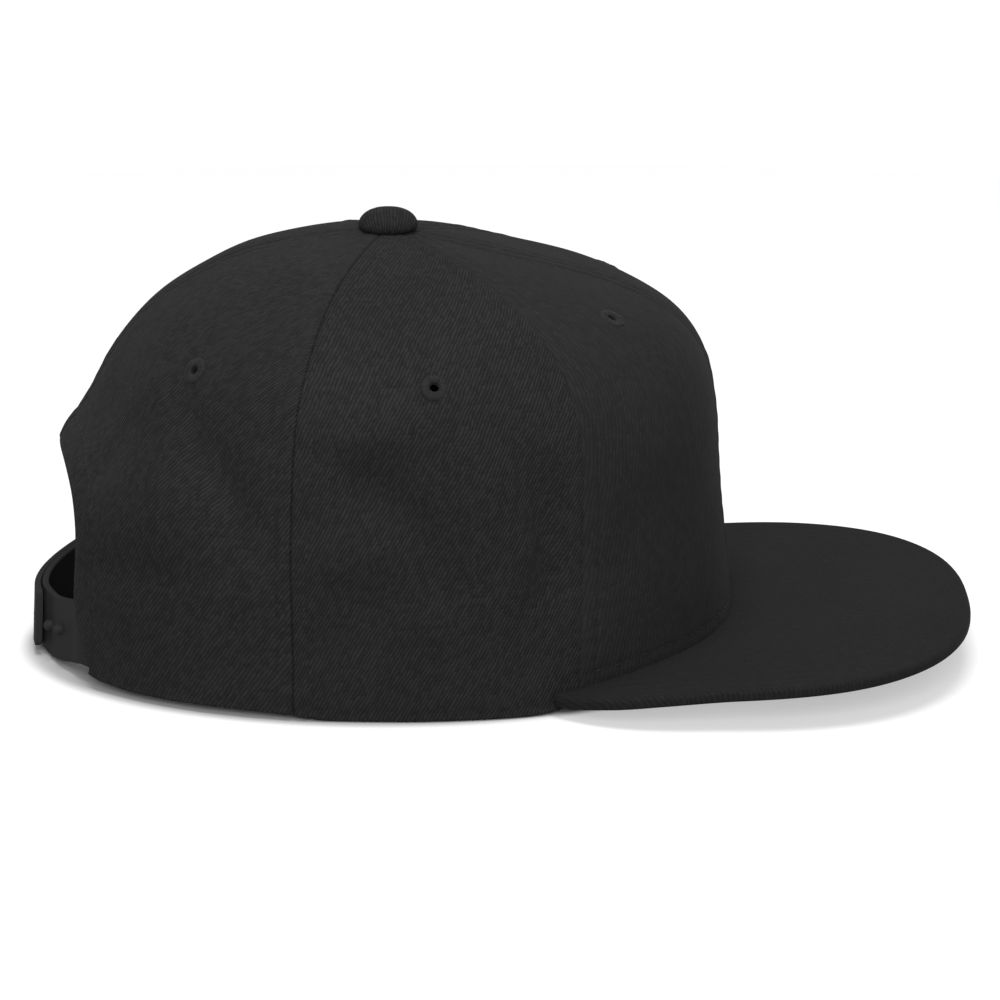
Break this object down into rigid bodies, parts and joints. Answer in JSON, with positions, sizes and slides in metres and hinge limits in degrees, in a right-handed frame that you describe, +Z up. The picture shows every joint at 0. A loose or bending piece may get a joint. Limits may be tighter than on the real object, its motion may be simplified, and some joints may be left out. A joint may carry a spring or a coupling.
{
  "type": "snapback cap",
  "caption": "Cloth cap with a stiff, nearly flat brim, a covered button, sewn air holes, a band inside the rim and a plastic snap strap across the arch at the back.",
  "frame": {"origin": "middle of the whole cap's length and width, on the surface that its rim stands on", "axes": "+X to the front (brim), +Y to the wearer's left, +Z up"},
  "size_m": [0.2762, 0.172, 0.1312],
  "materials": {
    "twill": "matte",
    "thread": "matte",
    "band_cloth": "matte",
    "strap_plastic": "satin"
  },
  "bodies": {
    "root": {"front_panel_left": "twill", "side_panel_left": "twill", "back_panel_left": "twill", "front_panel_right": "twill", "side_panel_right": "twill", "back_panel_right": "twill", "brim": "twill", "top_button": "twill", "eyelet_front_left": "thread", "eyelet_side_left": "thread", "eyelet_back_left": "thread", "eyelet_front_right": "thread", "eyelet_side_right": "thread", "eyelet_back_right": "thread", "sweatband": "band_cloth", "strap_with_holes": "strap_plastic", "strap_with_studs": "strap_plastic"}
  },
  "joints": []
}
